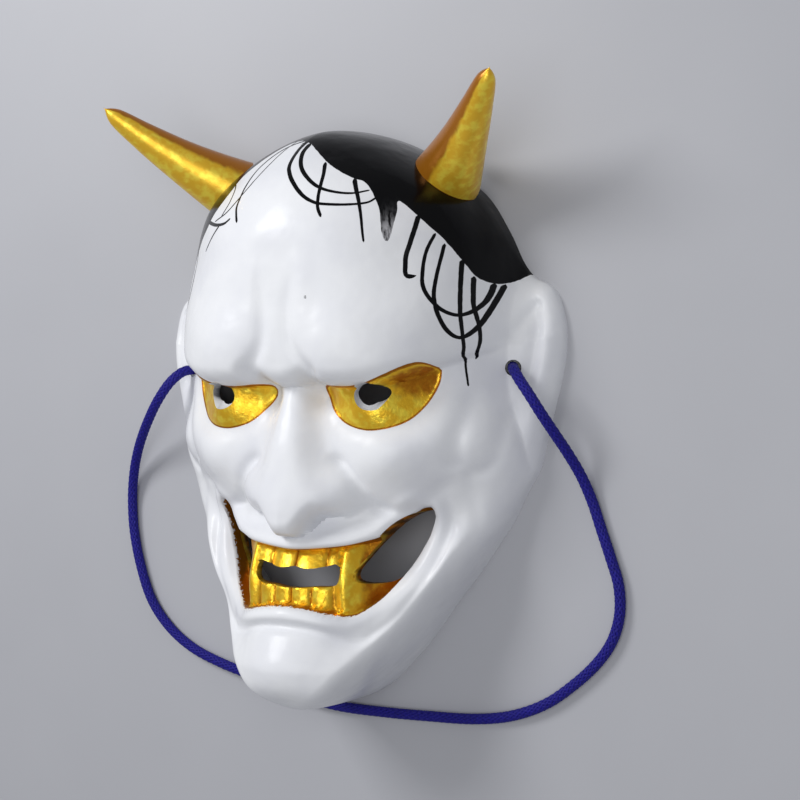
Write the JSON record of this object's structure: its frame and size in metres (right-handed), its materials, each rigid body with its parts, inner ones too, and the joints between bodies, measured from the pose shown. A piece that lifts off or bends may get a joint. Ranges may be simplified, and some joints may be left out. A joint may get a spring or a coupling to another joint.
{
  "type": "hannya mask",
  "caption": "Wearable demon mask of moulded plastic with horns, an open toothed mouth, pierced eyes and a loop of round elastic cord.",
  "frame": {"origin": "on the floor under the middle of the mask, cord left out, as it lies on its rim", "axes": "+X to the right as a viewer sees the face, +Y up the face from chin to horns, +Z out of the face"},
  "size_m": [0.2155, 0.2287, 0.063],
  "materials": {
    "painted_shell": "glossy white paint with black hair, gold horns, eyes and teeth",
    "elastic": "fine braided elastic, ultramarine"
  },
  "bodies": {
    "root": {"mask": "painted_shell", "elastic_cord": "elastic"}
  },
  "joints": []
}
